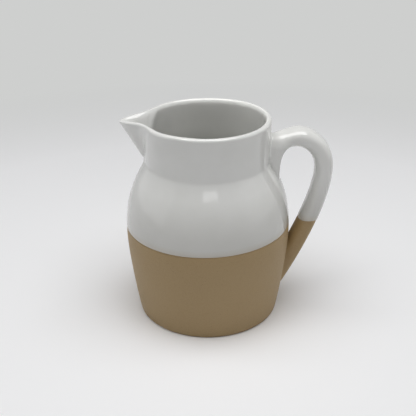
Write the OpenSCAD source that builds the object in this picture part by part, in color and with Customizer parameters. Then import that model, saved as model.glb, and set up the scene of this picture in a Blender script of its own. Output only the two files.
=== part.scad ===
// Stoneware jug: a round body with a straight neck, a beak spout luted into a
// notch in the neck, a strap handle, and a coat of white glaze that lines the
// inside and covers the outside down to a dip line.
// Millimetres. The origin is the centre of the foot, +Z is up, the beak points
// along -X and the handle along +X.

/* [Body] */
// Height from the table to the top of the glazed rim
jug_h = 190; // [170:1:215]
// Radius of the foot on the table
foot_r = 66; // [58:0.5:70]
// Radius of the belly where it is widest
belly_r = 75.8; // [72:0.1:84]
// Height of the widest part of the belly
belly_z = 81.7; // [70:0.1:92]
// Radius of the neck at its crease with the shoulder
neck_r = 56.2; // [53:0.1:60]
// Height of the crease between shoulder and neck
neck_z = 149.8; // [142:0.1:156]
// Radius of the neck at the rim
rim_r = 56.8; // [54:0.1:61]
// Thickness of the clay wall
wall = 5; // [4:0.1:6]
// Height of the cavity's floor above the table
floor_h = 7; // [5:0.1:10]

/* [Foot] */
// Width of the flat ring that the jug stands on
foot_ring_w = 8; // [5:0.5:14]
// Depth of the recess inside the ring
foot_recess = 1.6; // [0.8:0.1:2.5]
// Radius of the edge between foot and wall
foot_edge = 1.5; // [0.8:0.1:3]

/* [Beak] */
// Distance from the axis to the beak's tip, before its lip is rounded
beak_reach = 78.2; // [74:0.1:86]
// Height at which the beak's cone starts, inside the shoulder
beak_foot_z = 143.8; // [138:0.1:148]
// Distance of that start from the axis
beak_foot_x = 53; // [51:0.1:55]
// Angle round the neck from the tip to each side of the notch, in degrees
beak_join_angle = 30; // [26:0.5:36]
// Angle between each side of the beak and its middle line, in degrees
beak_side_angle = 25.5; // [22:0.5:31]
// Drop of the lip from the rim to the tip
beak_drop = 2.4; // [0:0.1:5]

/* [Handle] */
// Distance from the axis to the outside of the strap
strap_reach = 113.4; // [106:0.1:122]
// Thickness of the strap round the arch
strap_t = 15.8; // [12:0.1:19]
// Width of the strap round the arch
strap_w = 23.4; // [18:0.1:28]
// Width of the strap at its lower end
strap_end_w = 20.4; // [16:0.1:26]
// Height of the top of the arch
strap_top_z = 179.5; // [172:0.1:184]
// Height at which the strap reaches furthest out
strap_side_z = 142.5; // [132:0.1:150]
// Height at which the outside of the strap meets the wall near the foot
strap_end_z = 20.1; // [14:0.1:30]

/* [Glaze] */
// Thickness of the glaze coat
glaze_t = 0.4; // [0.3:0.05:0.8]
// Height of the dip line on the axis
dip_z = 89.7; // [74:0.1:106]
// Tilt of the dip line, which rises towards the handle, in degrees
dip_tilt = 1; // [-3:0.5:3]

/* [Hidden] */
stoneware = [0.67, 0.56, 0.41];
white_glaze = [0.90, 0.90, 0.88];
$fn = 96;
// How far a cut runs past what it cuts
overrun = 6;

// Body: leans are angles from the vertical, bends are the lengths of the
// handles that pull each curve straight near its ends
foot_lean = 16.7;
foot_bend = 5.3;
belly_bend_low = 21.3;
belly_bend_up = 37.2;
shoulder_lean = 25.5;
shoulder_bend = 16;
crease_soft = 2.6;
floor_bend = 12;
rim_round_share = 0.45;
rim_round = rim_round_share * wall;
round_step = 22.5;
clay_top = jug_h - glaze_t;

// Beak
nose_bend = 5.8;
side_bend = 5.7;
flare_bend = 6;
join_bend = 6.2;
join_proud = 0.2;
join_cross_angle = 8;
waist_reach_share = 0.3;
waist_width_share = 0.475;
cone_start_share = 0.05;
join_clear = 2;

// Handle: the strap's outer and inner edges seen from the side
root_z = neck_z + 22.2;
root_bend = 8.5;
arch_x = 81.7;
arch_bend_in = 8;
arch_bend_out = 13.6;
side_bend_up = 23;
side_bend_low = 38.4;
end_proud = 1.1;
end_bend = 30.5;
end_lean = 24;
web_out = 9.4;
web_drop = 20.4;
web_bend = 16.3;
inner_arch_x = 79.4;
inner_arch_bend_in = 14.5;
inner_arch_bend_out = 8.9;
inner_side_drop = 3;
inner_side_bend_up = 15;
inner_side_bend_low = 24.9;
inner_end_rise = 29.6;
inner_end_sink = 7;
inner_end_bend = 25.8;
strap_sink = 8;
strap_squareness = 2.5;
strap_sides = 24;

// Curves and lines in a plane

function bezier(a, b, c, d, t) =
    pow(1 - t, 3) * a + 3 * pow(1 - t, 2) * t * b
    + 3 * (1 - t) * t * t * c + t * t * t * d;

function curve(a, b, c, d, steps) =
    [for (i = [0 : steps]) bezier(a, b, c, d, i / steps)];

function without_first(line) = [for (i = [1 : len(line) - 1]) line[i]];

function backwards(line) = [for (i = [len(line) - 1 : -1 : 0]) line[i]];

function unit(v) = v / norm(v);

function polar(r, angle) = r * [cos(angle), sin(angle)];

// A step of length d in a direction that leans outwards from the vertical
function leaning(d, angle) = d * [sin(angle), cos(angle)];

function tangent(line, i) =
    unit(line[min(i + 1, len(line) - 1)] - line[max(i - 1, 0)]);

// The right-hand normal, which points out of the clay on lines drawn upwards
function normal(line, i) =
    let (t = tangent(line, i)) [t.y, -t.x];

// Body

foot_centre = [foot_r - foot_edge, foot_edge];
foot_arc = [for (i = [0 : 4])
    foot_centre + polar(foot_edge, -90 + i * (90 - foot_lean) / 4)];
belly = [belly_r, belly_z];
crease = [neck_r, neck_z];
rim_edge = [rim_r, clay_top - rim_round];
crease_start = crease - leaning(crease_soft, -shoulder_lean);
crease_end = crease + crease_soft * unit(rim_edge - crease);
wall_foot = foot_arc[4];

// The outside of the clay from the foot's edge up to the rim's edge
outer_line = concat(
    curve(wall_foot, wall_foot + leaning(foot_bend, foot_lean),
        belly - [0, belly_bend_low], belly, 12),
    without_first(curve(belly, belly + [0, belly_bend_up],
        crease_start - leaning(shoulder_bend, -shoulder_lean),
        crease_start, 12)),
    without_first(curve(crease_start, crease, crease, crease_end, 4)),
    [rim_edge]
);

// The outer line moved along its normals, outwards or into the clay
function moved_out(d) =
    [for (i = [0 : len(outer_line) - 1]) outer_line[i] + d * normal(outer_line, i)];

// The wall at a depth from the outside, closed by a floor at a height
function inside_line(depth, floor_z) =
    let (
        side = [for (i = [0 : len(outer_line) - 1])
            if (outer_line[i].y > floor_h + floor_bend)
            outer_line[i] - depth * normal(outer_line, i)],
        down = unit(side[0] - side[1]),
        corner = side[0] + down * (side[0].y - floor_z) / -down.y,
        flat = [corner.x - floor_bend, floor_z]
    )
    concat([[0, floor_z]], curve(flat, corner, corner, side[0], 8),
        without_first(side));

// The rim's rounded edges, outer and inner, each drawn up to the crest
function outer_arc(grow) =
    [for (angle = [round_step : round_step : 90])
        rim_edge - [rim_round, 0] + polar(rim_round + grow, angle)];

function inner_arc(grow) =
    [for (angle = [180 - round_step : -round_step : 90])
        rim_edge - [wall - rim_round, 0] + polar(rim_round + grow, angle)];

// Radius of the outside of the body, looked up by height
wall_table = [for (p = outer_line) [p.y, p.x]];
function wall_r(z) = lookup(z, wall_table);

module clay_wall() {
    rotate_extrude() polygon(concat(
        [[0, foot_recess],
         [foot_centre.x - foot_ring_w - foot_recess, foot_recess],
         [foot_centre.x - foot_ring_w, 0]],
        foot_arc,
        without_first(outer_line),
        outer_arc(0),
        backwards(inner_arc(0)),
        backwards(inside_line(wall, floor_h))
    ));
}

// The body with no cavity, its outside moved outwards
module filled_body(grow) {
    rotate_extrude() polygon(concat(
        [[0, wall_foot.y]],
        moved_out(grow),
        outer_arc(grow),
        [[0, clay_top + grow]]
    ));
}

// The glazed cavity, carried straight up past the rim
module cavity() {
    edge_r = rim_edge.x - wall + rim_round;
    rotate_extrude() polygon(concat(
        inside_line(wall + glaze_t, floor_h + glaze_t),
        inner_arc(glaze_t),
        [[edge_r, jug_h + overrun], [0, jug_h + overrun]]
    ));
}

// Glaze from the middle of the floor up to the inner edge of the rim
module inner_coat() {
    rotate_extrude() polygon(concat(
        inside_line(wall, floor_h),
        inner_arc(0),
        backwards(inner_arc(glaze_t)),
        backwards(inside_line(wall + glaze_t, floor_h + glaze_t))
    ));
}

// Glaze from below the dip line up and over the rim to its inner edge
module outer_coat() {
    start_z = dip_z - 3 * overrun;
    edge_r = rim_edge.x - wall + rim_round;
    rotate_extrude() polygon(concat(
        [for (p = outer_line) if (p.y > start_z) p],
        outer_arc(0),
        [[edge_r, clay_top], [edge_r, jug_h]],
        backwards(outer_arc(glaze_t)),
        [for (p = backwards(moved_out(glaze_t))) if (p.y > start_z) p]
    ));
}

// A solid from rings of points, each with the same count, closed by fans
// about two centres

module loft(rings, centres) {
    count = len(rings[0]);
    last = len(rings) - 1;
    points = concat([for (ring = rings) each ring], centres);
    sides = [for (k = [0 : last - 1]) for (i = [0 : count - 1])
        let (
            j = (i + 1) % count,
            a = k * count + i,
            b = k * count + j
        )
        each [[a, b, b + count], [a, b + count, a + count]]];
    caps = [for (i = [0 : count - 1])
        let (j = (i + 1) % count, top = last * count)
        each [
            [len(points) - 2, j, i],
            [len(points) - 1, top + i, top + j]
        ]];
    polyhedron(points, concat(sides, caps));
}

// Beak, drawn along +X and turned round at the end

beak_h = clay_top - beak_foot_z;
join = polar(rim_r + join_proud, beak_join_angle);
join_way = polar(1, beak_join_angle + 90 + join_cross_angle);
side_way = polar(1, 180 - beak_side_angle);
tip = [beak_reach, 0];
waist = [
    rim_r + waist_reach_share * (beak_reach - rim_r),
    waist_width_share * join.y
];

// Half of the beak's outline in the plane of the rim, from tip to neck
half_beak = concat(
    curve(tip, tip + [0, nose_bend], waist - side_bend * side_way, waist, 7),
    without_first(curve(waist, waist + flare_bend * side_way,
        join - join_bend * join_way, join, 6))
);

// How much of the lip's drop each point of that outline takes
function drop_share(p) =
    max(0, min(1, (p.x - rim_r) / (beak_reach - rim_r)));

// Out of the beak's wall. On the outside the last one lies in the joint.
function beak_normal(i, depth) =
    i == 0 ? [1, 0]
    : i == len(half_beak) - 1 && depth == 0 ? polar(1, beak_join_angle)
    : normal(half_beak, i);

// One side of the outline at a depth in the beak's wall, ending inside the
// cavity. Each entry is a point, its normal and its share of the drop.
function beak_side(depth, clear) = concat(
    [for (i = [0 : len(half_beak) - 1])
        let (n = beak_normal(i, depth))
        [half_beak[i] - depth * n, n, drop_share(half_beak[i])]],
    [[polar(rim_r - wall - overrun / 2, beak_join_angle - clear), [0, 0], 0]]
);

function mirrored(entry) =
    [[entry[0].x, -entry[0].y], [entry[1].x, -entry[1].y], entry[2]];

function beak_outline(depth, clear) =
    let (side = beak_side(depth, clear))
    concat(backwards(side), [for (entry = without_first(side)) mirrored(entry)]);

// A level of the cone: s is its share of the height, grow moves it outwards
function beak_ring(outline, start, s, grow) =
    [for (entry = outline)
        let (p = start + min(s, 1) * (entry[0] - start) + grow * entry[1])
        [p.x, p.y, beak_foot_z + s * (beak_h - beak_drop * entry[2])]];

// The beak's cone at a depth in its wall: 0 is the outside, whose upper edge
// is rounded inwards, and wall is the channel, whose upper edge is rounded
// outwards. It is moved outwards by grow and carried up past the lip by
// above. Clear keeps its inner corners off the joint's faces, in degrees.
module beak_cone(depth, grow, above, clear) {
    outline = beak_outline(depth, clear);
    start = [beak_foot_x - depth, 0];
    way = depth > 0 ? 1 : -1;
    radius = rim_round + abs(grow);
    edge = [for (angle = [0 : round_step : 90])
        beak_ring(
            outline, start,
            1 - (rim_round - radius * sin(angle)) / beak_h,
            grow + way * radius * (1 - cos(angle))
        )];
    low = beak_ring(outline, start, cone_start_share, grow);
    high = beak_ring(outline, start, 1 + above / beak_h, way * rim_round);
    rings = concat([low], edge, above > 0 ? [high] : []);
    mirror([1, 0, 0]) loft(rings, [
        [start.x, 0, low[0].z],
        [rim_r, 0, max([for (p = rings[len(rings) - 1]) p.z])]
    ]);
}

// The space in the neck that the beak fits, open at the top
module notch() {
    beak_cone(0, glaze_t, overrun, 0);
}

// Handle

root = [neck_r - wall, root_z];
arch = [arch_x, strap_top_z];
side = [strap_reach, strap_side_z];
end = [wall_r(strap_end_z) + end_proud, strap_end_z];
web = [neck_r + web_out, neck_z - web_drop];
inner_arch = [inner_arch_x, strap_top_z - strap_t];
inner_side = [strap_reach - strap_t, strap_side_z - inner_side_drop];
inner_end_z = strap_end_z + inner_end_rise;
inner_end = [wall_r(inner_end_z) - inner_end_sink, inner_end_z];

outer_edge = concat(
    curve(root, root + [root_bend, 0], arch - [arch_bend_in, 0], arch, 8),
    without_first(curve(arch, arch + [arch_bend_out, 0],
        side + [0, side_bend_up], side, 8)),
    without_first(curve(side, side - [0, side_bend_low],
        end + leaning(end_bend, end_lean), end, 12))
);

inner_edge = concat(
    curve(web, web + [0, web_bend],
        inner_arch - [inner_arch_bend_in, 0], inner_arch, 8),
    without_first(curve(inner_arch, inner_arch + [inner_arch_bend_out, 0],
        inner_side + [0, inner_side_bend_up], inner_side, 8)),
    without_first(curve(inner_side, inner_side - [0, inner_side_bend_low],
        inner_end + leaning(inner_end_bend, end_lean), inner_end, 12))
);

// A flattened circle: a power under 1 squares its sides
function squared(c) = sign(c) * pow(abs(c), 2 / strap_squareness);

// A section of the strap between its two edges, moved towards the jug by sink
function strap_ring(i, grow, sink) =
    let (
        a = outer_edge[i],
        b = inner_edge[i],
        t = norm(a - b) / 2 + grow,
        across = unit(a - b),
        s = i / (len(outer_edge) - 1),
        w = (strap_w + (strap_end_w - strap_w) * max(0, 2 * s - 1)) / 2 + grow,
        middle = (a + b) / 2 - [sink, 0]
    )
    [for (k = [0 : strap_sides - 1])
        let (
            angle = k * 360 / strap_sides,
            p = middle + across * t * squared(cos(angle))
        )
        [p.x, w * squared(sin(angle)), p.y]];

function strap_centre(ring) = (ring[0] + ring[strap_sides / 2]) / 2;

module strap(grow) {
    last = len(outer_edge) - 1;
    sink = strap_sink - 2 * grow;
    rings = concat(
        [strap_ring(0, grow, sink)],
        [for (i = [0 : last]) strap_ring(i, grow, 0)],
        [strap_ring(last, grow, sink)]
    );
    loft(rings, [strap_centre(rings[0]), strap_centre(rings[last + 2])]);
}

// Everything below the dip line
module below_dip() {
    side = 2 * (strap_reach + overrun);
    translate([0, 0, dip_z]) rotate([0, -dip_tilt, 0])
        translate([-side / 2, -side / 2, -side]) cube(side);
}

// Sub-parts

module jug_body() {
    color(stoneware) difference() {
        clay_wall();
        notch();
    }
}

// The beak is glazed all over and is drawn with its glaze
module spout() {
    color(white_glaze) difference() {
        beak_cone(0, glaze_t, 0, 0);
        cavity();
        beak_cone(wall, 0, overrun, join_clear);
    }
}

module handle() {
    color(stoneware) difference() {
        strap(0);
        filled_body(0);
    }
}

module liner_glaze() {
    color(white_glaze) difference() {
        inner_coat();
        notch();
    }
}

module dip_glaze() {
    color(white_glaze) difference() {
        outer_coat();
        notch();
        below_dip();
        strap(0);
    }
}

module handle_glaze() {
    color(white_glaze) difference() {
        strap(glaze_t);
        strap(0);
        filled_body(glaze_t);
        below_dip();
    }
}

jug_body();
spout();
handle();
liner_glaze();
dip_glaze();
handle_glaze();
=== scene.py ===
"""Stoneware jug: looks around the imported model. Lengths are millimetres until a mesh is made."""

import math

import bmesh
import bpy
import numpy as np
from mathutils import Matrix, Vector
from mathutils.kdtree import KDTree


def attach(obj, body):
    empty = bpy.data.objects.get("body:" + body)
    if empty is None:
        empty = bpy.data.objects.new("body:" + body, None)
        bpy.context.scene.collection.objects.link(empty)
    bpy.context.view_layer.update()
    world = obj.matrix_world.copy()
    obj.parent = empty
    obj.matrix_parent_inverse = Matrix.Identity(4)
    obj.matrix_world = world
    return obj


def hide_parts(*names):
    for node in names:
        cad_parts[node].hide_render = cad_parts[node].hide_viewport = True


MM = 0.001
# A distance in metres that counts as none
TINY = 1e-7
BODY = "root"

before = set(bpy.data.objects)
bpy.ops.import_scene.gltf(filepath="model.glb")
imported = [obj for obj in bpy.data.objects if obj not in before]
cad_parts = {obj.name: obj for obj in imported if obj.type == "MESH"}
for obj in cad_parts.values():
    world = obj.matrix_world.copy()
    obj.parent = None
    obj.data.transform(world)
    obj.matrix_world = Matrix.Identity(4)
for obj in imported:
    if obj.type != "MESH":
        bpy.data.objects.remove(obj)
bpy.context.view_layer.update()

# Body, as in the part's source but for a rounder foot edge
JUG_H = 190.0
FOOT_R = 66.0
BELLY_R, BELLY_Z = 75.8, 81.7
NECK_R, NECK_Z = 56.2, 149.8
RIM_R = 56.8
WALL = 5.0
FLOOR_H = 7.0
FOOT_RING_W = 8.0
FOOT_RECESS = 1.6
FOOT_EDGE = 2.2
FOOT_LEAN, FOOT_BEND = 16.7, 5.3
BELLY_BEND_LOW, BELLY_BEND_UP = 21.3, 37.2
SHOULDER_LEAN, SHOULDER_BEND = 25.5, 16.0
CREASE_SOFT = 2.6
FLOOR_BEND = 12.0
GLAZE_T = 0.4
DIP_Z, DIP_TILT = 89.7, 1.0
CLAY_TOP = JUG_H - GLAZE_T
RIM_ROUND_SHARE = 0.45
ROUND = RIM_ROUND_SHARE * WALL

# Beak, as in the part's source
BEAK_REACH = 78.2
BEAK_FOOT_Z, BEAK_FOOT_X = 143.8, 53.0
BEAK_H = CLAY_TOP - BEAK_FOOT_Z
JOIN_ANGLE, SIDE_ANGLE = 30.0, 25.5
BEAK_DROP = 2.4
NOSE_BEND, SIDE_BEND, FLARE_BEND, JOIN_BEND = 5.8, 5.7, 6.0, 6.2
JOIN_CROSS_ANGLE = 8.0
JOIN_PROUD = 0.2
WAIST_REACH_SHARE, WAIST_WIDTH_SHARE = 0.3, 0.475

# Handle, as in the part's source but for a higher and fuller lower end
STRAP_REACH = 113.4
STRAP_T = 15.8
STRAP_W, STRAP_END_W = 23.4, 20.4
STRAP_TOP_Z, STRAP_SIDE_Z, STRAP_END_Z = 179.5, 142.5, 22.6
ROOT_RISE, ROOT_BEND = 22.2, 8.5
ARCH_X, ARCH_BEND_IN, ARCH_BEND_OUT = 81.7, 8.0, 13.6
SIDE_BEND_UP, SIDE_BEND_LOW = 23.0, 38.4
END_PROUD, END_BEND, END_LEAN = 1.1, 22.0, 30.0
WEB_OUT, WEB_DROP, WEB_BEND = 9.4, 20.4, 16.3
INNER_ARCH_X, INNER_ARCH_BEND_IN, INNER_ARCH_BEND_OUT = 79.4, 14.5, 8.9
INNER_SIDE_DROP, INNER_SIDE_BEND_UP, INNER_SIDE_BEND_LOW = 3.0, 15.0, 24.9
INNER_END_RISE, INNER_END_SINK, INNER_END_BEND, INNER_END_LEAN = 27.1, 7.0, 25.8, 24.0
SQUARENESS = 2.5
STRAP_SINK = 8.0

# Details that the solids don't have: fillets at the handle's roots, a taller bevel inside
# the rim, a soft slope into the foot's recess and softened seams beside the beak
ROOT_FILLET_TOP, ROOT_FILLET_LOW = 1.6, 0.9
RIM_BEVEL_SHARE = 0.9
BEVEL = RIM_BEVEL_SHARE * WALL
RECESS_SLOPE, RECESS_BEND = 3.0, 1.6
SEAM_REACH, SEAM_ROUNDS, SEAM_FACTOR = 7.0, 40, 0.5
# Over this last stretch the beak's normals turn to the neck's own radius
TURN_REACH = 6.0
# The coat's edge swells from nothing at the dip line: height above it, thickness
COAT_EDGE = ((0.0, 0.0), (0.15, 0.13), (0.4, 0.25), (0.8, 0.34), (1.4, 0.39), (2.4, 0.4))
# How far the edge of the strap's coat turns in, and how far the clay goes under the
# body's coat, with the height over which it tilts to do so
STRAP_EDGE_TUCK = 0.6
CLAY_TUCK, CLAY_TUCK_REACH = 0.3, 12.0
# The mouth is flatter behind and fuller in front of the beak's root: by how much, over
# what reach and how far towards the beak. The change from one to the other is soft.
MOUTH_FLAT, MOUTH_FLAT_REACH = 3.0, 36.0
MOUTH_FULL, MOUTH_FULL_REACH, MOUTH_FULL_X = 3.6, 14.0, 46.0
MOUTH_SOFT = 14.0

# Steps of the curves, columns and rows of the meshes
FOOT_STEPS, BELLY_STEPS, CREASE_STEPS, NECK_STEPS = 6, 40, 8, 23
FLOOR_STEPS, CORNER_STEPS, RECESS_STEPS = 13, 14, 6
BEAK_STEPS = 60
SEAM_STEPS = np.array([0.0, 0.5, 1.0, 1.6, 2.3, 3.1, 4.0, 5.0])
SEAM_SHARE = 1 / 3
BEAK_COLUMNS, NECK_COLUMNS = 34, 88
SHOULDER_ROWS, NECK_ROWS, RIM_ROWS, BEVEL_ROWS, INNER_ROWS = 45, 45, 7, 10, 39
# One point in so many of the inside's lines makes a row, and the hidden rows stop this
# far below the dip line
INNER_SKIP, HIDDEN_SKIP, HIDDEN_DROP = 2, 6, 4.0
# Past this angle round the rim's edge a row of the beak runs its whole length
CREST_ANGLE = 57.0
# The beak's middle line leaves a wall between these heights from the neck's crease, where
# so many levels are tried
KEEL_LOW, KEEL_HIGH, KEEL_TRIES = -4.0, 8.0, 601
ROUND_COLUMNS = 192
STRAP_STEPS, STRAP_COLUMNS = (30, 30, 60), 72
# Points of a mesh that lie closer than this are one
COAT_WELD, ROUND_WELD, STRAP_WELD = 0.02, 0.005, 0.001


# Lines and points

def bezier(points, steps):
    """Points along a cubic curve, both ends included."""
    a, b, c, d = (np.asarray(p, float) for p in points)
    t = np.linspace(0, 1, steps + 1)[:, None]
    return (1 - t) ** 3 * a + 3 * (1 - t) ** 2 * t * b + 3 * (1 - t) * t**2 * c + t**3 * d


def polar(r, degrees):
    return np.array([r * math.cos(math.radians(degrees)), r * math.sin(math.radians(degrees))])


def leaning(d, degrees):
    """A step that leans outwards from the vertical."""
    return polar(d, 90 - degrees)


def unit(v):
    v = np.asarray(v, float)
    return v / np.linalg.norm(v)


def joined(*runs):
    """Runs of points end to end, with the shared ends kept once."""
    out = [np.asarray(runs[0], float)]
    out += [np.asarray(run, float)[1:] for run in runs[1:]]
    return np.vstack(out)


def normals_of(line):
    """Right-hand normals, which point out of the clay on lines drawn upwards."""
    t = np.gradient(line, axis=0)
    t /= np.linalg.norm(t, axis=1)[:, None]
    return np.column_stack([t[:, 1], -t[:, 0]])


def along(line):
    """Length run at each point."""
    return np.concatenate([[0], np.cumsum(np.linalg.norm(np.diff(line, axis=0), axis=1))])


def radius_at(line, z):
    return np.interp(z, line[:, 1], line[:, 0])


def radius_of(points):
    """Distance of each point from the jug's axis."""
    return np.hypot(points[:, 0], points[:, 1])


def dip_height(x):
    """Height of the dip line, which is tilted up towards the handle."""
    return DIP_Z + x * math.tan(math.radians(DIP_TILT))


# The outside of the clay from the foot's edge to the rim's edge: radius, height

foot_centre = np.array([FOOT_R - FOOT_EDGE, FOOT_EDGE])
foot_arc = np.array([foot_centre + polar(FOOT_EDGE, a)
                     for a in np.linspace(-90, -FOOT_LEAN, FOOT_STEPS + 1)])
belly = np.array([BELLY_R, BELLY_Z])
crease = np.array([NECK_R, NECK_Z])
rim_edge = np.array([RIM_R, CLAY_TOP - ROUND])
crease_start = crease - leaning(CREASE_SOFT, -SHOULDER_LEAN)
crease_end = crease + CREASE_SOFT * unit(rim_edge - crease)
outer_line = joined(
    bezier([foot_arc[-1], foot_arc[-1] + leaning(FOOT_BEND, FOOT_LEAN),
            belly - [0, BELLY_BEND_LOW], belly], BELLY_STEPS),
    bezier([belly, belly + [0, BELLY_BEND_UP],
            crease_start - leaning(SHOULDER_BEND, -SHOULDER_LEAN), crease_start], BELLY_STEPS),
    bezier([crease_start, crease, crease, crease_end], CREASE_STEPS),
    np.linspace(crease_end, rim_edge, NECK_STEPS + 1),
)
outer_normals = normals_of(outer_line)


def moved(depth):
    """The outer line moved out (positive) or into the clay (negative)."""
    return outer_line + depth * outer_normals


def inside_line(depth, floor_z):
    """The wall's inside from the middle of the floor up to the rim's edge."""
    side = moved(-depth)[outer_line[:, 1] > FLOOR_H + FLOOR_BEND]
    side = side[side[:, 1] < CLAY_TOP - BEVEL]
    down = unit(side[0] - side[1])
    corner = side[0] + down * (side[0][1] - floor_z) / -down[1]
    flat = corner - [FLOOR_BEND, 0]
    return joined(
        np.linspace([0, floor_z], flat, FLOOR_STEPS + 1),
        bezier([flat, corner, corner, side[0]], CORNER_STEPS),
        side,
    )


glaze_out = moved(GLAZE_T)
glaze_in = inside_line(WALL + GLAZE_T, FLOOR_H + GLAZE_T)
# Without the floor, so that the heights only rise
glaze_in_wall = glaze_in[FLOOR_STEPS + CORNER_STEPS // 2:]
# Halfway through the wall and the floor
hidden_line = inside_line(WALL / 2, FLOOR_H / 2)


# The beak's outlines in the plane of the rim, drawn along +X from tip to joint

def half_beak():
    join = polar(RIM_R + JOIN_PROUD, JOIN_ANGLE)
    join_way = polar(1, JOIN_ANGLE + 90 + JOIN_CROSS_ANGLE)
    side_way = polar(1, 180 - SIDE_ANGLE)
    tip = np.array([BEAK_REACH, 0])
    waist = np.array([RIM_R + WAIST_REACH_SHARE * (BEAK_REACH - RIM_R),
                      WAIST_WIDTH_SHARE * join[1]])
    return joined(
        bezier([tip, tip + [0, NOSE_BEND], waist - SIDE_BEND * side_way, waist], BEAK_STEPS),
        bezier([waist, waist + FLARE_BEND * side_way, join - JOIN_BEND * join_way, join],
               BEAK_STEPS),
    )


def half_beak_normals(line):
    """The outline's normals, which turn to the neck's own radius towards the joint."""
    normals = normals_of(line)
    normals[0] = [1, 0]
    run = along(line)
    turn = np.clip((run - run[-1]) / TURN_REACH + 1, 0, 1)[:, None]
    normals = normals * (1 - turn) + polar(1, JOIN_ANGLE) * turn
    return normals / np.linalg.norm(normals, axis=1)[:, None]


beak_line = half_beak()
beak_normals = half_beak_normals(beak_line)
beak_drop_shares = np.clip((beak_line[:, 0] - RIM_R) / (BEAK_REACH - RIM_R), 0, 1)


def beak_level(depth, z, out):
    """The outline of the beak's cone at a depth in its wall and a level z."""
    share = (z - BEAK_FOOT_Z) / BEAK_H
    start = np.array([BEAK_FOOT_X - depth, 0])
    entry = beak_line - depth * beak_normals
    xy = start + min(share, 1) * (entry - start) + out * beak_normals
    height = BEAK_FOOT_Z + share * (BEAK_H - BEAK_DROP * beak_drop_shares)
    return np.column_stack([xy, height])


def up_to_wall(level, wall_r):
    """The part of a level from the tip to where it meets a wall of that radius."""
    r = radius_of(level)
    inside = np.nonzero(r <= wall_r)[0]
    if len(inside) == 0:
        return level
    i = inside[0]
    f = (r[i - 1] - wall_r) / (r[i - 1] - r[i])
    return np.vstack([level[:i], level[i - 1] + f * (level[i] - level[i - 1])])


# Grids, drawn with the beak along +X. Each side of the jug has the same columns: the
# beak's from its tip to the seam with the neck, then the neck's round to the handle.

def seam_spaced(length, count):
    """Distances from a seam: close together beside it, then even."""
    near = SEAM_STEPS * min(1, SEAM_SHARE * length / SEAM_STEPS[-1])
    return np.concatenate([near, np.linspace(near[-1], length, count - len(near) + 1)[1:]])


ring_angles = seam_spaced(math.pi * NECK_R, NECK_COLUMNS) / NECK_R


def beak_part(level):
    """Points on one side of a beak level, from the tip to the seam."""
    run = along(level)
    places = run[-1] - seam_spaced(run[-1], BEAK_COLUMNS)[::-1]
    return np.column_stack([np.interp(places, run, level[:, k]) for k in range(3)])


def neck_part(angle, r, z):
    """Points round the neck from an angle to the handle's side."""
    places = angle + seam_spaced((math.pi - angle) * r, NECK_COLUMNS) / r
    return np.column_stack([r * np.cos(places), r * np.sin(places), np.full(NECK_COLUMNS, z)])


def keel_start(line, depth, out):
    """The height at which the beak's middle line comes out of a wall."""
    levels = np.linspace(NECK_Z + KEEL_LOW, NECK_Z + KEEL_HIGH, KEEL_TRIES)
    keel = np.array([beak_level(depth, z, out)[0, 0] for z in levels])
    return levels[np.argmax(keel > radius_at(line, levels))]


def full_row(r, z):
    """A ring with no beak in it. Radius and height are a number or one for each column."""
    return None, np.column_stack([r * np.cos(ring_angles), r * np.sin(ring_angles),
                                  z * np.ones(NECK_COLUMNS)])


def split_row(z, wall_r, depth, out, over_crest=False):
    """A level of the beak up to the wall, and the wall's ring from there on."""
    level = beak_level(depth, z, out)
    beak = level if over_crest else up_to_wall(level, wall_r)
    angle = math.atan2(beak[-1, 1], beak[-1, 0])
    part, neck = beak_part(beak), neck_part(angle, wall_r, z)
    part[-1] = neck[0] = (part[-1] + neck[0]) / 2
    return part, neck


def outer_rows():
    """The outside of the coat, from the dip line up to the rim's edge."""
    foot = keel_start(glaze_out, 0, GLAZE_T)
    low = dip_height(-BELLY_R * np.cos(ring_angles))
    rows = [full_row(radius_at(outer_line, low + up) + swell, low + up) for up, swell in COAT_EDGE]
    start_share = COAT_EDGE[-1][0] / (foot - DIP_Z)
    for share in np.linspace(start_share, 1, SHOULDER_ROWS + 1)[1:]:
        z = low + share * (foot - low)
        rows.append(full_row(radius_at(glaze_out, z), z))
    for z in np.linspace(foot, rim_edge[1], NECK_ROWS + 1)[1:]:
        rows.append(split_row(z, radius_at(glaze_out, z), 0, GLAZE_T))
    return rows


def rim_rows():
    """Over the rounded rim: a round outer edge, then a taller bevel inside."""
    r = ROUND + GLAZE_T
    rows = []
    for angle in np.linspace(0, 90, RIM_ROWS + 1)[1:]:
        c, s = polar(1, angle)
        rows.append(split_row(rim_edge[1] + r * s, RIM_R - ROUND + r * c, 0,
                              GLAZE_T - r * (1 - c), angle > CREST_ANGLE))
    tall = BEVEL + GLAZE_T
    for angle in np.linspace(90, 0, BEVEL_ROWS + 1):
        c, s = polar(1, angle)
        rows.append(split_row(CLAY_TOP - BEVEL + tall * s, RIM_R - WALL + ROUND - r * c, WALL,
                              ROUND - r * c, angle > CREST_ANGLE))
    return rows


def inner_rows():
    """Down the inside of the coat, below the rim's bevel, to the middle of the floor."""
    foot = keel_start(glaze_in_wall, WALL, -GLAZE_T)
    rows = []
    for z in np.linspace(CLAY_TOP - BEVEL, foot, INNER_ROWS + 1)[1:-1]:
        rows.append(split_row(z, radius_at(glaze_in_wall, z), WALL, -GLAZE_T))
    for r, z in glaze_in[glaze_in[:, 1] < foot][::INNER_SKIP][::-1]:
        rows.append(full_row(r, z))
    return rows


def hidden_rows():
    """Out of sight, back through the clay to the dip line."""
    below_dip = hidden_line[hidden_line[:, 1] < DIP_Z - HIDDEN_DROP]
    return [full_row(r, z) for r, z in below_dip[::HIDDEN_SKIP]]


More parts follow.
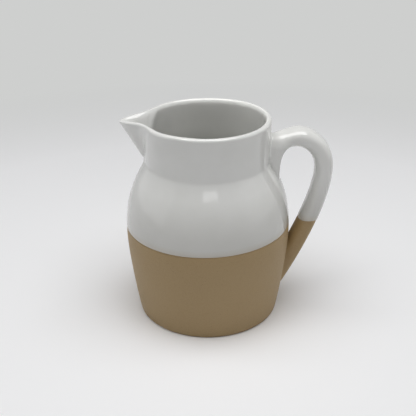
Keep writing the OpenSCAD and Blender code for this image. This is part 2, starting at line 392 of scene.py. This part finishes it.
def by_hand(points):
    """The potter's pull on the mouth: flatter behind, fuller in front of the beak's root."""
    x, y, z = points.T
    share = np.clip((z - NECK_Z) / (CLAY_TOP - NECK_Z), 0, 1)
    share = share * share * (3 - 2 * share)
    side = np.tanh(y / MOUTH_SOFT)
    behind = MOUTH_FLAT * np.exp(-(x / MOUTH_FLAT_REACH) ** 2) * np.maximum(side, 0)
    before = np.exp(-((x + MOUTH_FULL_X) / MOUTH_FULL_REACH) ** 2) * np.maximum(-side, 0)
    pull = share * (behind + MOUTH_FULL * before)
    return points - np.column_stack([np.zeros(len(pull)), pull, np.zeros(len(pull))])


# Meshes

def piece(name, points, faces, weld):
    """A mesh object from millimetre points and faces."""
    mesh = bpy.data.meshes.new(name)
    mesh.from_pydata([tuple(p * MM) for p in np.asarray(points)], [], faces)
    obj = bpy.data.objects.new(name, mesh)
    bpy.context.scene.collection.objects.link(obj)
    bm = bmesh.new()
    bm.from_mesh(mesh)
    bmesh.ops.remove_doubles(bm, verts=bm.verts, dist=weld * MM)
    bmesh.ops.dissolve_degenerate(bm, edges=bm.edges, dist=TINY)
    bmesh.ops.recalc_face_normals(bm, faces=bm.faces)
    bm.to_mesh(mesh)
    bm.free()
    mesh.shade_smooth()
    return obj


def soften(obj, seam):
    """Rounds the mesh off close to a seam's points."""
    tree = KDTree(len(seam))
    for i, point in enumerate(seam):
        tree.insert(Vector(point) * MM, i)
    tree.balance()
    bm = bmesh.new()
    bm.from_mesh(obj.data)
    near = [v for v in bm.verts if tree.find(v.co)[2] < SEAM_REACH * MM]
    for _ in range(SEAM_ROUNDS):
        bmesh.ops.smooth_vert(bm, verts=near, factor=SEAM_FACTOR, use_axis_x=True,
                              use_axis_y=True, use_axis_z=True)
    bm.to_mesh(obj.data)
    bm.free()


def strip_faces(rows, columns, closed=False):
    """Quads between rows of a grid whose vertices are numbered row by row."""
    last = columns if closed else columns - 1
    return [
        (i * columns + j, i * columns + (j + 1) % columns,
         (i + 1) * columns + (j + 1) % columns, (i + 1) * columns + j)
        for i in range(rows - 1) for j in range(last)
    ]


def glaze_skin():
    """The coat of the body and the beak, outside and inside, as one closed skin."""
    rows = outer_rows() + rim_rows() + inner_rows() + hidden_rows()
    rows.append(rows[0])
    points, faces, seam = [], [], []
    split = [i for i, row in enumerate(rows) if row[0] is not None]
    neck = [row[1] for row in rows]
    # The beak starts and ends as a single point of the ring below it
    ends = [np.tile(rows[i][1][0], (BEAK_COLUMNS, 1)) for i in (split[0] - 1, split[-1] + 1)]
    beak = [ends[0]] + [rows[i][0] for i in split] + [ends[1]]
    for sign in (1, -1):
        # Both sides, with the beak turned to -X
        flip = np.array([-1, sign, 1])
        for grid in (neck, beak):
            base = len(points)
            for row in grid:
                points.extend(by_hand(row * flip))
            faces.extend([tuple(base + k for k in f)
                          for f in strip_faces(len(grid), len(grid[0]))])
        seam += [by_hand(row[-1:] * flip)[0] for row in beak
                 if row[-1, 2] < rim_edge[1] - SEAM_REACH / 2]
    obj = piece("glaze_coat", points, faces, COAT_WELD)
    soften(obj, seam)
    return obj


def revolved(name, line):
    """A closed solid of revolution from a line of radius and height."""
    angles = np.linspace(0, 2 * math.pi, ROUND_COLUMNS, endpoint=False)
    points = [[r * math.cos(a), r * math.sin(a), z] for r, z in line for a in angles]
    faces = strip_faces(len(line), ROUND_COLUMNS, closed=True)
    return piece(name, np.array(points), faces, ROUND_WELD)


def clay_body():
    """The clay below the dip line, with its foot, closed inside the wall."""
    top = outer_line[outer_line[:, 1] < DIP_Z]
    hidden = hidden_line[hidden_line[:, 1] < DIP_Z][::-1]
    ring = np.array([foot_centre[0] - FOOT_RING_W, 0])
    recess = np.array([ring[0] - RECESS_SLOPE, FOOT_RECESS])
    under = joined(
        [[0, FOOT_RECESS], recess],
        bezier([recess, recess + [RECESS_BEND, 0], ring - [RECESS_BEND, 0], ring], RECESS_STEPS),
        [ring, foot_arc[0]],
    )
    obj = revolved("clay_body", np.vstack([under, foot_arc[1:], top[1:], hidden]))
    # The top edge follows the tilted dip line, just under the glaze's edge
    top_z = top[-1][1]
    for v in obj.data.vertices:
        share = max(0.0, v.co.z / MM - top_z + CLAY_TUCK_REACH) / CLAY_TUCK_REACH
        v.co.z += share * (dip_height(v.co.x / MM) + CLAY_TUCK - top_z) * MM
    return obj


# Handle

def strap_edges():
    """The strap's outer and inner edges, seen from the side: distance out, height."""
    root = np.array([NECK_R - WALL, NECK_Z + ROOT_RISE])
    arch = np.array([ARCH_X, STRAP_TOP_Z])
    side = np.array([STRAP_REACH, STRAP_SIDE_Z])
    end = np.array([radius_at(outer_line, STRAP_END_Z) + END_PROUD, STRAP_END_Z])
    web = np.array([NECK_R + WEB_OUT, NECK_Z - WEB_DROP])
    inner_arch = np.array([INNER_ARCH_X, STRAP_TOP_Z - STRAP_T])
    inner_side = np.array([STRAP_REACH - STRAP_T, STRAP_SIDE_Z - INNER_SIDE_DROP])
    inner_end_z = STRAP_END_Z + INNER_END_RISE
    inner_end = np.array([radius_at(outer_line, inner_end_z) - INNER_END_SINK, inner_end_z])
    up, down, low = STRAP_STEPS
    outer = joined(
        bezier([root, root + [ROOT_BEND, 0], arch - [ARCH_BEND_IN, 0], arch], up),
        bezier([arch, arch + [ARCH_BEND_OUT, 0], side + [0, SIDE_BEND_UP], side], down),
        bezier([side, side - [0, SIDE_BEND_LOW], end + leaning(END_BEND, END_LEAN), end], low),
    )
    inner = joined(
        bezier([web, web + [0, WEB_BEND], inner_arch - [INNER_ARCH_BEND_IN, 0], inner_arch], up),
        bezier([inner_arch, inner_arch + [INNER_ARCH_BEND_OUT, 0],
                inner_side + [0, INNER_SIDE_BEND_UP], inner_side], down),
        bezier([inner_side, inner_side - [0, INNER_SIDE_BEND_LOW],
                inner_end + leaning(INNER_END_BEND, INNER_END_LEAN), inner_end], low),
    )
    return outer, inner


def squared(c):
    """Turns the cosine or sine of a circle into that of a squarer outline."""
    return np.sign(c) * np.abs(c) ** (2 / SQUARENESS)


def strap_ring(a, b, share, grow):
    """The strap's outline between two edge points, and its directions outwards."""
    angles = np.linspace(0, 2 * math.pi, STRAP_COLUMNS, endpoint=False)
    half_t = np.linalg.norm(a - b) / 2 + grow
    half_w = (STRAP_W + (STRAP_END_W - STRAP_W) * max(0, 2 * share - 1)) / 2 + grow
    across = unit(a - b)
    flat = (a + b) / 2 + np.outer(half_t * squared(np.cos(angles)), across)
    ring = np.column_stack([flat[:, 0], half_w * squared(np.sin(angles)), flat[:, 1]])
    away = np.column_stack([np.cos(angles) * across[0], np.sin(angles),
                            np.cos(angles) * across[1]])
    return ring, away


def flared(ring, away, wall_line, fillet):
    """The ring with its points close to the wall spread out, as a fillet."""
    gap = np.clip(radius_of(ring) - radius_at(wall_line, ring[:, 2]), 0, fillet)
    flare = fillet - np.sqrt(np.maximum(fillet**2 - (fillet - gap) ** 2, 0))
    return ring + away * flare[:, None]


def wall_middle(ring, wall_line):
    """The radius halfway through the wall at each point's height."""
    return radius_at(wall_line, ring[:, 2]) - WALL / 2


def kept_out(ring, wall_line):
    """The ring with no point further into the wall than its middle."""
    r, stop = radius_of(ring), wall_middle(ring, wall_line)
    return ring * np.column_stack([np.where(r < stop, stop / r, 1)] * 2 + [np.ones(len(r))])


def sunk(ring, wall_line):
    """An end ring moved inwards, with all its points in the middle of the wall."""
    ring = ring - [STRAP_SINK, 0, 0]
    ring[:, :2] *= (wall_middle(ring, wall_line) / radius_of(ring))[:, None]
    return ring


def strap_mesh(name, grow, wall_line):
    """The strap, with its ends flared into the wall and stopped inside it."""
    outer, inner = strap_edges()
    rings = []
    for i, (a, b) in enumerate(zip(outer, inner)):
        share = i / (len(outer) - 1)
        ring, away = strap_ring(a, b, share, grow)
        fillet = ROOT_FILLET_TOP if share < 0.5 else ROOT_FILLET_LOW
        rings.append(kept_out(flared(ring, away, wall_line, fillet), wall_line))
    rings = [sunk(rings[0], wall_line)] + rings + [sunk(rings[-1], wall_line)]
    faces = strip_faces(len(rings), STRAP_COLUMNS, closed=True)
    last = (len(rings) - 1) * STRAP_COLUMNS
    faces += [tuple(range(STRAP_COLUMNS)), tuple(range(last, last + STRAP_COLUMNS))]
    return piece(name, np.vstack(rings), faces, STRAP_WELD)


def cut_strap():
    """The strap's coat above the dip line, with its cut edge turned in to the clay."""
    obj = strap_mesh("handle_glaze_coat", GLAZE_T, glaze_out)
    tilt = math.radians(DIP_TILT)
    bm = bmesh.new()
    bm.from_mesh(obj.data)
    cut = bmesh.ops.bisect_plane(
        bm, geom=bm.verts[:] + bm.edges[:] + bm.faces[:], dist=TINY,
        plane_co=(0, 0, DIP_Z * MM), plane_no=(-math.sin(tilt), 0, math.cos(tilt)),
        clear_inner=True)
    rim = [g for g in cut["geom_cut"] if isinstance(g, bmesh.types.BMEdge)]
    middle = sum((v.co for e in rim for v in e.verts), Vector()) / (2 * len(rim))
    edge = bmesh.ops.extrude_edge_only(bm, edges=rim)["geom"]
    for v in (g for g in edge if isinstance(g, bmesh.types.BMVert)):
        v.co += (middle - v.co).normalized() * STRAP_EDGE_TUCK * MM
    bmesh.ops.recalc_face_normals(bm, faces=bm.faces)
    bm.to_mesh(obj.data)
    bm.free()
    return obj


# Materials

def srgb(*values):
    """A colour as written in a photo, made linear."""
    lin = [v / 12.92 if v <= 0.04045 else ((v + 0.055) / 1.055) ** 2.4 for v in values]
    return (*lin, 1.0)


GLAZE_DULL, GLAZE_BRIGHT = srgb(0.866, 0.866, 0.853), srgb(0.886, 0.886, 0.876)
GLAZE_SPECK = srgb(0.80, 0.79, 0.76)
# Painted light, whiter inside
GLAZE_INSIDE_LIGHT = srgb(0.95, 0.95, 0.935)
# Painted shade, greyer towards the dip line
GLAZE_BELLY_SHADE = srgb(0.62, 0.61, 0.58)
GLAZE_EDGE = srgb(0.70, 0.64, 0.54)
# Painted shade, greyer deep inside
GLAZE_INSIDE_SHADE = srgb(0.63, 0.63, 0.59)
# Painted shade that greys the coat towards the dip line: how much, between which heights above it
BELLY_SHADE_SHARE, BELLY_SHADE_LOW, BELLY_SHADE_HIGH = 0.42, 2.0, 46.0
EDGE_SHARE, EDGE_HIGH = 0.38, 6.0
# Painted shade that greys the coat deep inside: how much, between which heights above the neck's
# crease
INSIDE_SHADE_SHARE, INSIDE_SHADE_LOW, INSIDE_SHADE_HIGH = 0.9, -6.0, 16.0
# Painted light that whitens the inside past the beak's channel: from where on, and where fully
INSIDE_LIGHT_START, INSIDE_LIGHT_FULL = -48.0, -20.0
# The line between inside and outside, halfway through the wall: radius, height
DIVIDE = ((74.0, 92.0), (62.5, 136.0), (53.7, 150.0))
DIVIDE_SOFT = 0.5
# Noises: features for each metre, detail and, if not half, roughness
GLAZE_CLOUDS, GLAZE_CLOUD_STEP = (22.0, 3.0), (0.35, 0.65)
GLAZE_SPECKS, GLAZE_SPECK_STEP = (1500.0, 1.0), (0.74, 0.80)
GLAZE_SMEARS, GLAZE_ROUGHNESS = (60.0, 3.0), (0.03, 0.08)
GLAZE_WAVES, GLAZE_WAVE_H = (26.0, 2.0), 0.35
GLAZE_RIPPLES, GLAZE_RIPPLE_H = (420.0, 2.0), 0.01
GLAZE_IOR, GLAZE_GLOSS, GLAZE_GLOSS_ROUGHNESS = 1.6, 0.25, 0.04
SPECULAR = 0.5

CLAY_DULL, CLAY_BRIGHT = srgb(0.614, 0.516, 0.358), srgb(0.630, 0.534, 0.376)
CLAY_GRAIN = srgb(0.650, 0.556, 0.402)
CLAY_SPECK = srgb(0.50, 0.41, 0.29)
CLAY_CLOUDS, CLAY_CLOUD_STEP = (18.0, 4.0), (0.3, 0.7)
CLAY_GRAINS, CLAY_GRAIN_STEP = (900.0, 4.0, 0.6), (0.35, 0.75)
CLAY_SPECKS, CLAY_SPECK_STEP = (1300.0, 1.0), (0.70, 0.78)
CLAY_SMEARS, CLAY_ROUGHNESS = (300.0, 3.0), (0.48, 0.62)
CLAY_PORES, CLAY_PORE_H = (1600.0, 3.0), 0.05
# Turning marks, as noise that is stretched round the axis
CLAY_RINGS, CLAY_RING_STRETCH, CLAY_RING_H = (420.0, 3.0), (0.02, 0.02, 1.0), 0.06


class Nodes:
    """A material's node tree, with short ways to add and join nodes."""

    def __init__(self, name):
        self.material = bpy.data.materials.new(name)
        self.material.use_nodes = True
        self.tree = self.material.node_tree
        self.shader = self.tree.nodes["Principled BSDF"]
        self.place = self.add("ShaderNodeTexCoord").outputs["Object"]

    def add(self, kind, **inputs):
        node = self.tree.nodes.new(kind)
        for key, value in inputs.items():
            self.put(node.inputs[key.replace("_", " ")], value)
        return node

    def put(self, socket, value):
        if isinstance(value, bpy.types.NodeSocket):
            self.tree.links.new(value, socket)
        else:
            socket.default_value = value

    def looks(self, **inputs):
        """Sets the shader's own inputs, by their names."""
        for key, value in inputs.items():
            self.put(self.shader.inputs[key.replace("_", " ")], value)

    def noise(self, scale, detail, rough=0.5, place=None):
        """Noise over the object, with its features about 1/scale of a metre."""
        node = self.add("ShaderNodeTexNoise", Vector=place or self.place, Scale=scale,
                        Detail=detail, Roughness=rough)
        return node.outputs["Fac"]

    def ramp(self, value, low, high, start=0.0, end=1.0):
        """A value between low and high as the input goes from start to end."""
        node = self.add("ShaderNodeMapRange", Value=value)
        numbers = {"From Min": start, "From Max": end, "To Min": low, "To Max": high}
        for key, number in numbers.items():
            node.inputs[key].default_value = number
        return node.outputs["Result"]

    def step(self, value, start, end):
        """0 up to the start and 1 from the end on."""
        return self.ramp(value, 0, 1, start, end)

    def fade(self, value, most, start, end):
        """The most up to the start and 0 from the end on."""
        return self.ramp(value, most, 0, start, end)

    def blend(self, share, a, b):
        node = self.tree.nodes.new("ShaderNodeMix")
        node.data_type = "RGBA"
        self.put(node.inputs[0], share)
        self.put(node.inputs[6], a)
        self.put(node.inputs[7], b)
        return node.outputs[2]

    def maths(self, operation, a, b):
        node = self.add("ShaderNodeMath")
        node.operation = operation
        self.put(node.inputs[0], a)
        self.put(node.inputs[1], b)
        return node.outputs["Value"]

    def times(self, a, b):
        return self.maths("MULTIPLY", a, b)

    def scaled(self, by, place=None):
        """The place with each axis scaled."""
        node = self.add("ShaderNodeVectorMath", Vector=place or self.place)
        node.operation = "MULTIPLY"
        node.inputs[1].default_value = by
        return node.outputs["Vector"]

    def distance(self, way):
        """How far the place lies in a direction."""
        node = self.add("ShaderNodeVectorMath", Vector=self.place)
        node.operation = "DOT_PRODUCT"
        node.inputs[1].default_value = way
        return node.outputs["Value"]

    def height(self, tilt=0.0):
        """Height over the table, measured along a line tilted up towards +X."""
        return self.distance((-math.tan(math.radians(tilt)), 0, 1))

    def length(self, vector):
        node = self.add("ShaderNodeVectorMath", Vector=vector)
        node.operation = "LENGTH"
        return node.outputs["Value"]

    def outside(self):
        """1 on the outside of the jug and 0 on its inside."""
        (low_r, low), (mid_r, mid), (top_r, top) = np.array(DIVIDE) * MM
        z = self.height()
        shoulder = self.ramp(z, low_r, mid_r, low, mid)
        neck = self.ramp(z, 0, mid_r - top_r, mid, top)
        divide = self.maths("SUBTRACT", shoulder, neck)
        reach = self.length(self.scaled((1, 1, 0)))
        return self.step(self.maths("SUBTRACT", reach, divide), 0, DIVIDE_SOFT * MM)

    def bump(self, height, distance, normal=None):
        node = self.add("ShaderNodeBump", Height=height, Distance=distance * MM)
        if normal is not None:
            self.put(node.inputs["Normal"], normal)
        return node.outputs["Normal"]


def glaze_colour(n):
    """White with faint clouds, specks and a browner edge at the dip line, with painted shade
    towards the dip line and deep inside, and painted light inside past the beak.
    """
    cloud = n.step(n.noise(*GLAZE_CLOUDS), *GLAZE_CLOUD_STEP)
    speck = n.step(n.noise(*GLAZE_SPECKS), *GLAZE_SPECK_STEP)
    outside = n.outside()
    inside = n.ramp(outside, 1, 0)
    over_dip = n.height(DIP_TILT)
    # Painted shade, greying the coat towards the dip line
    belly_shade = n.fade(over_dip, BELLY_SHADE_SHARE, (DIP_Z + BELLY_SHADE_LOW) * MM, (DIP_Z + BELLY_SHADE_HIGH) * MM)
    edge = n.fade(over_dip, EDGE_SHARE, DIP_Z * MM, (DIP_Z + EDGE_HIGH) * MM)
    # Painted shade, greying the coat deep inside
    inside_shade = n.fade(n.height(), INSIDE_SHADE_SHARE, (NECK_Z + INSIDE_SHADE_LOW) * MM, (NECK_Z + INSIDE_SHADE_HIGH) * MM)
    # Painted light, whitening the inside past the beak's channel
    past_beak = n.step(n.distance((1, 0, 0)), INSIDE_LIGHT_START * MM, INSIDE_LIGHT_FULL * MM)
    colour = n.blend(cloud, GLAZE_DULL, GLAZE_BRIGHT)
    colour = n.blend(speck, colour, GLAZE_SPECK)
    colour = n.blend(n.times(outside, belly_shade), colour, GLAZE_BELLY_SHADE)
    colour = n.blend(n.times(outside, edge), colour, GLAZE_EDGE)
    colour = n.blend(n.times(inside, past_beak), colour, GLAZE_INSIDE_LIGHT)
    return n.blend(n.times(inside, n.times(inside_shade, inside_shade)), colour, GLAZE_INSIDE_SHADE)


def glaze_material():
    n = Nodes("white_glaze")
    wave = n.bump(n.noise(*GLAZE_WAVES), GLAZE_WAVE_H)
    n.looks(
        Base_Color=glaze_colour(n),
        Roughness=n.ramp(n.noise(*GLAZE_SMEARS), *GLAZE_ROUGHNESS),
        Specular_IOR_Level=SPECULAR,
        IOR=GLAZE_IOR,
        Coat_Weight=GLAZE_GLOSS,
        Coat_Roughness=GLAZE_GLOSS_ROUGHNESS,
        Normal=n.bump(n.noise(*GLAZE_RIPPLES), GLAZE_RIPPLE_H, wave),
    )
    return n.material


def clay_material():
    n = Nodes("stoneware")
    cloud = n.step(n.noise(*CLAY_CLOUDS), *CLAY_CLOUD_STEP)
    grain = n.step(n.noise(*CLAY_GRAINS), *CLAY_GRAIN_STEP)
    speck = n.step(n.noise(*CLAY_SPECKS), *CLAY_SPECK_STEP)
    colour = n.blend(cloud, CLAY_DULL, CLAY_BRIGHT)
    colour = n.blend(grain, colour, CLAY_GRAIN)
    rings = n.bump(n.noise(*CLAY_RINGS, place=n.scaled(CLAY_RING_STRETCH)), CLAY_RING_H)
    n.looks(
        Base_Color=n.blend(speck, colour, CLAY_SPECK),
        Roughness=n.ramp(n.noise(*CLAY_SMEARS), *CLAY_ROUGHNESS),
        Specular_IOR_Level=SPECULAR,
        Normal=n.bump(n.noise(*CLAY_PORES), CLAY_PORE_H, rings),
    )
    return n.material


def use(obj, material):
    obj.data.materials.clear()
    obj.data.materials.append(material)
    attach(obj, BODY)


# Camera, at the photograph's angle

CAMERA = Vector((0, -667.0, 428.7)) * MM
LOOK_AT = Vector((0, 0, 100.1)) * MM
FOCAL_PIXELS = 796.6
IMAGE_PIXELS = 416
AXIS_PIXEL = 207.77
CAMERA_ROLL = -0.0064
SENSOR = 36.0
CLIP_NEAR, CLIP_FAR = 0.05, 30.0


def aimed(place, target):
    """A matrix at a place, looking at a target."""
    turn = (Vector(target) - Vector(place)).to_track_quat("-Z", "Y").to_matrix().to_4x4()
    return Matrix.Translation(place) @ turn


def make_camera():
    data = bpy.data.cameras.new("camera")
    data.sensor_width = SENSOR
    data.lens = FOCAL_PIXELS / IMAGE_PIXELS * SENSOR
    data.shift_x = (IMAGE_PIXELS / 2 - AXIS_PIXEL) / IMAGE_PIXELS
    data.clip_start = CLIP_NEAR
    data.clip_end = CLIP_FAR
    camera = bpy.data.objects.new("camera", data)
    bpy.context.scene.collection.objects.link(camera)
    camera.matrix_world = aimed(CAMERA, LOOK_AT) @ Matrix.Rotation(CAMERA_ROLL, 4, "Z")
    bpy.context.scene.camera = camera


# Floor and light, in metres and watts

PAPER = srgb(0.962, 0.963, 0.968)
PAPER_ROUGHNESS, PAPER_SPECULAR = 0.6, 0.2
BACKGROUND = srgb(0.808, 0.812, 0.808)
FLOOR_HALF = 30.0
FADE_START, FADE_END = 0.42, 0.72
AMBIENT = 0.05
LIT_POINT = (0, 0, 0.1)
# Name, place, size and power of each panel: as in a tent of white cloth, lit from
# above, with paler walls and a small opening
LAMPS = (
    ("top", (0, -0.15, 1.4), (1.5, 1.05), 18.8),
    ("left_wall", (-0.87, 0.1, 0.45), (1.5, 0.85), 1.3),
    ("right_wall", (0.87, 0.1, 0.45), (1.5, 0.85), 1.3),
    ("opening", (0.09, -1.1, 0.80), (0.46, 0.12), 0.3),
)


def seen_directly(tree):
    """1 where the camera, a reflection or a glass sees the surface, 0 for its light."""
    path = tree.nodes.new("ShaderNodeLightPath")
    total = path.outputs["Is Camera Ray"]
    for name in ("Is Glossy Ray", "Is Transmission Ray"):
        node = tree.nodes.new("ShaderNodeMath")
        node.operation = "MAXIMUM"
        tree.links.new(total, node.inputs[0])
        tree.links.new(path.outputs[name], node.inputs[1])
        total = node.outputs["Value"]
    return total


def make_floor():
    """Pale paper round the jug, which fades into a plain backdrop further out."""
    mesh = bpy.data.meshes.new("floor")
    corners = [(x * FLOOR_HALF, y * FLOOR_HALF, 0)
               for x, y in ((-1, -1), (1, -1), (1, 1), (-1, 1))]
    mesh.from_pydata(corners, [], [(0, 1, 2, 3)])
    floor = bpy.data.objects.new("floor", mesh)
    bpy.context.scene.collection.objects.link(floor)
    n = Nodes("floor")
    n.looks(Base_Color=PAPER, Roughness=PAPER_ROUGHNESS, Specular_IOR_Level=PAPER_SPECULAR)
    far = n.step(n.length(n.place), FADE_START, FADE_END)
    backdrop = n.add("ShaderNodeEmission", Color=BACKGROUND)
    mix = n.tree.nodes.new("ShaderNodeMixShader")
    n.put(mix.inputs[0], n.times(far, seen_directly(n.tree)))
    n.put(mix.inputs[1], n.shader.outputs["BSDF"])
    n.put(mix.inputs[2], backdrop.outputs["Emission"])
    n.put(n.tree.nodes["Material Output"].inputs["Surface"], mix.outputs["Shader"])
    mesh.materials.append(n.material)


def make_world():
    """Plain pale grey where it is seen, and a low even light otherwise."""
    world = bpy.data.worlds.new("studio")
    bpy.context.scene.world = world
    world.use_nodes = True
    tree = world.node_tree
    ambient = tree.nodes["Background"]
    ambient.inputs["Color"].default_value = (AMBIENT, AMBIENT, AMBIENT, 1)
    backdrop = tree.nodes.new("ShaderNodeBackground")
    backdrop.inputs["Color"].default_value = BACKGROUND
    mix = tree.nodes.new("ShaderNodeMixShader")
    tree.links.new(seen_directly(tree), mix.inputs[0])
    tree.links.new(ambient.outputs["Background"], mix.inputs[1])
    tree.links.new(backdrop.outputs["Background"], mix.inputs[2])
    tree.links.new(mix.outputs["Shader"], tree.nodes["World Output"].inputs["Surface"])


def make_lamp(name, place, size, power):
    """A soft panel of light that faces the jug."""
    data = bpy.data.lights.new(name, "AREA")
    data.shape = "RECTANGLE"
    data.size, data.size_y = size
    data.energy = power
    lamp = bpy.data.objects.new(name, data)
    lamp.matrix_world = aimed(place, LIT_POINT)
    lamp.visible_camera = False
    bpy.context.scene.collection.objects.link(lamp)


make_camera()
make_floor()
make_world()
for lamp in LAMPS:
    make_lamp(*lamp)

white_glaze = glaze_material()
stoneware = clay_material()

coat = glaze_skin()
use(coat, white_glaze)
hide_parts("spout", "liner_glaze", "dip_glaze")

body = clay_body()
use(body, stoneware)
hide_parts("jug_body")

strap = strap_mesh("handle_clay", 0, outer_line)
use(strap, stoneware)
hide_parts("handle")

strap_coat = cut_strap()
use(strap_coat, white_glaze)
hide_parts("handle_glaze")

bpy.context.scene.view_settings.view_transform = "Standard"
